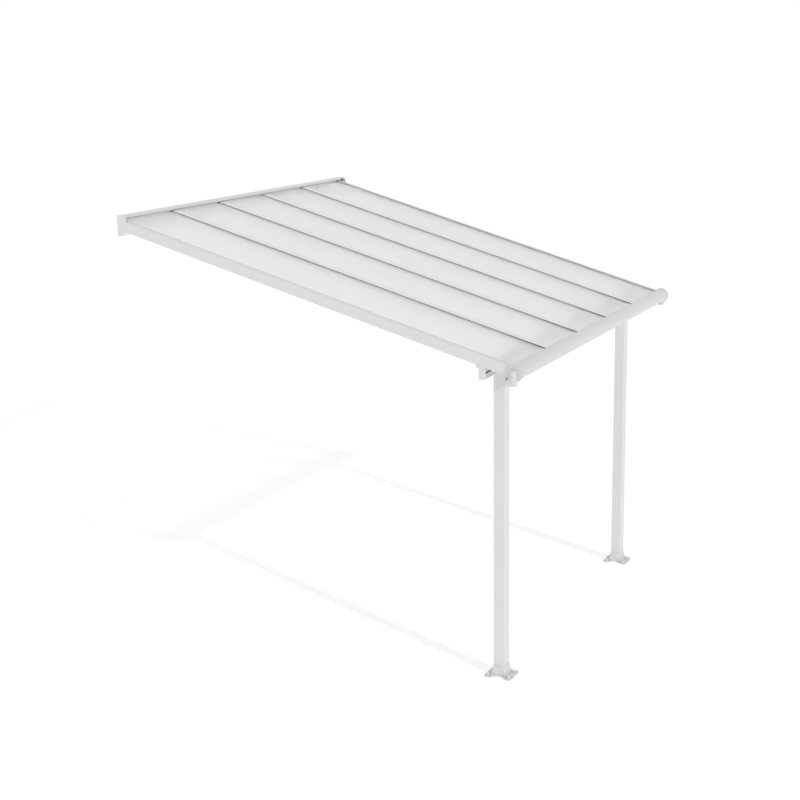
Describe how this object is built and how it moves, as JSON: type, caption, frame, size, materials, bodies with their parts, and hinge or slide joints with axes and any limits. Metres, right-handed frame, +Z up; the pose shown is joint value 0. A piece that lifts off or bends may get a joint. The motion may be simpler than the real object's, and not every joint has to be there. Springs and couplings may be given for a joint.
{
  "type": "lean-to patio cover awning",
  "caption": "Wall-hung lean-to patio cover: milky twin-wall panels on sloping aluminium rafters, with a gutter, a support beam and square posts on bolted feet.",
  "frame": {"origin": "centre of the wall profile's flat back face, on the wall plane", "axes": "+Z up; +Y into the wall, so the roof falls and reaches out towards -Y; +X along the wall"},
  "size_m": [3.1452, 2.9345, 2.9755],
  "materials": {
    "powder_coat": "white satin powder coat on aluminium extrusions",
    "moulding": "white moulded plastic, finely textured",
    "rubber": "black matt glazing rubber",
    "glazing": "clear twin-wall polycarbonate, slightly milky"
  },
  "bodies": {
    "root": {"wall_profile": "powder_coat", "wall_ledge": "powder_coat", "wall_top_cover": "powder_coat", "wall_gasket": "rubber", "gutter": "powder_coat", "support_beam": "powder_coat", "wall_end_cap_left": "moulding", "side_rafter_left": "powder_coat", "side_gasket_left": "rubber", "side_cap_left": "powder_coat", "gutter_end_cap_left": "moulding", "beam_end_cap_left": "moulding", "rafter_saddle_left": "moulding", "post_left": "powder_coat", "post_foot_left": "moulding", "wall_end_cap_right": "moulding", "side_rafter_right": "powder_coat", "side_gasket_right": "rubber", "side_cap_right": "powder_coat", "gutter_end_cap_right": "moulding", "beam_end_cap_right": "moulding", "rafter_saddle_right": "moulding", "post_right": "powder_coat", "post_foot_right": "moulding", "roof_panel_1": "glazing", "panel_end_profile_1": "powder_coat", "roof_panel_2": "glazing", "panel_end_profile_2": "powder_coat", "roof_panel_3": "glazing", "panel_end_profile_3": "powder_coat", "roof_panel_4": "glazing", "panel_end_profile_4": "powder_coat", "roof_panel_5": "glazing", "panel_end_profile_5": "powder_coat", "rafter_1": "powder_coat", "rafter_gasket_1": "rubber", "rafter_cap_1": "powder_coat", "rafter_saddle_1": "moulding", "rafter_2": "powder_coat", "rafter_gasket_2": "rubber", "rafter_cap_2": "powder_coat", "rafter_saddle_2": "moulding", "rafter_3": "powder_coat", "rafter_gasket_3": "rubber", "rafter_cap_3": "powder_coat", "rafter_saddle_3": "moulding", "rafter_4": "powder_coat", "rafter_gasket_4": "rubber", "rafter_cap_4": "powder_coat", "rafter_saddle_4": "moulding"}
  },
  "joints": []
}
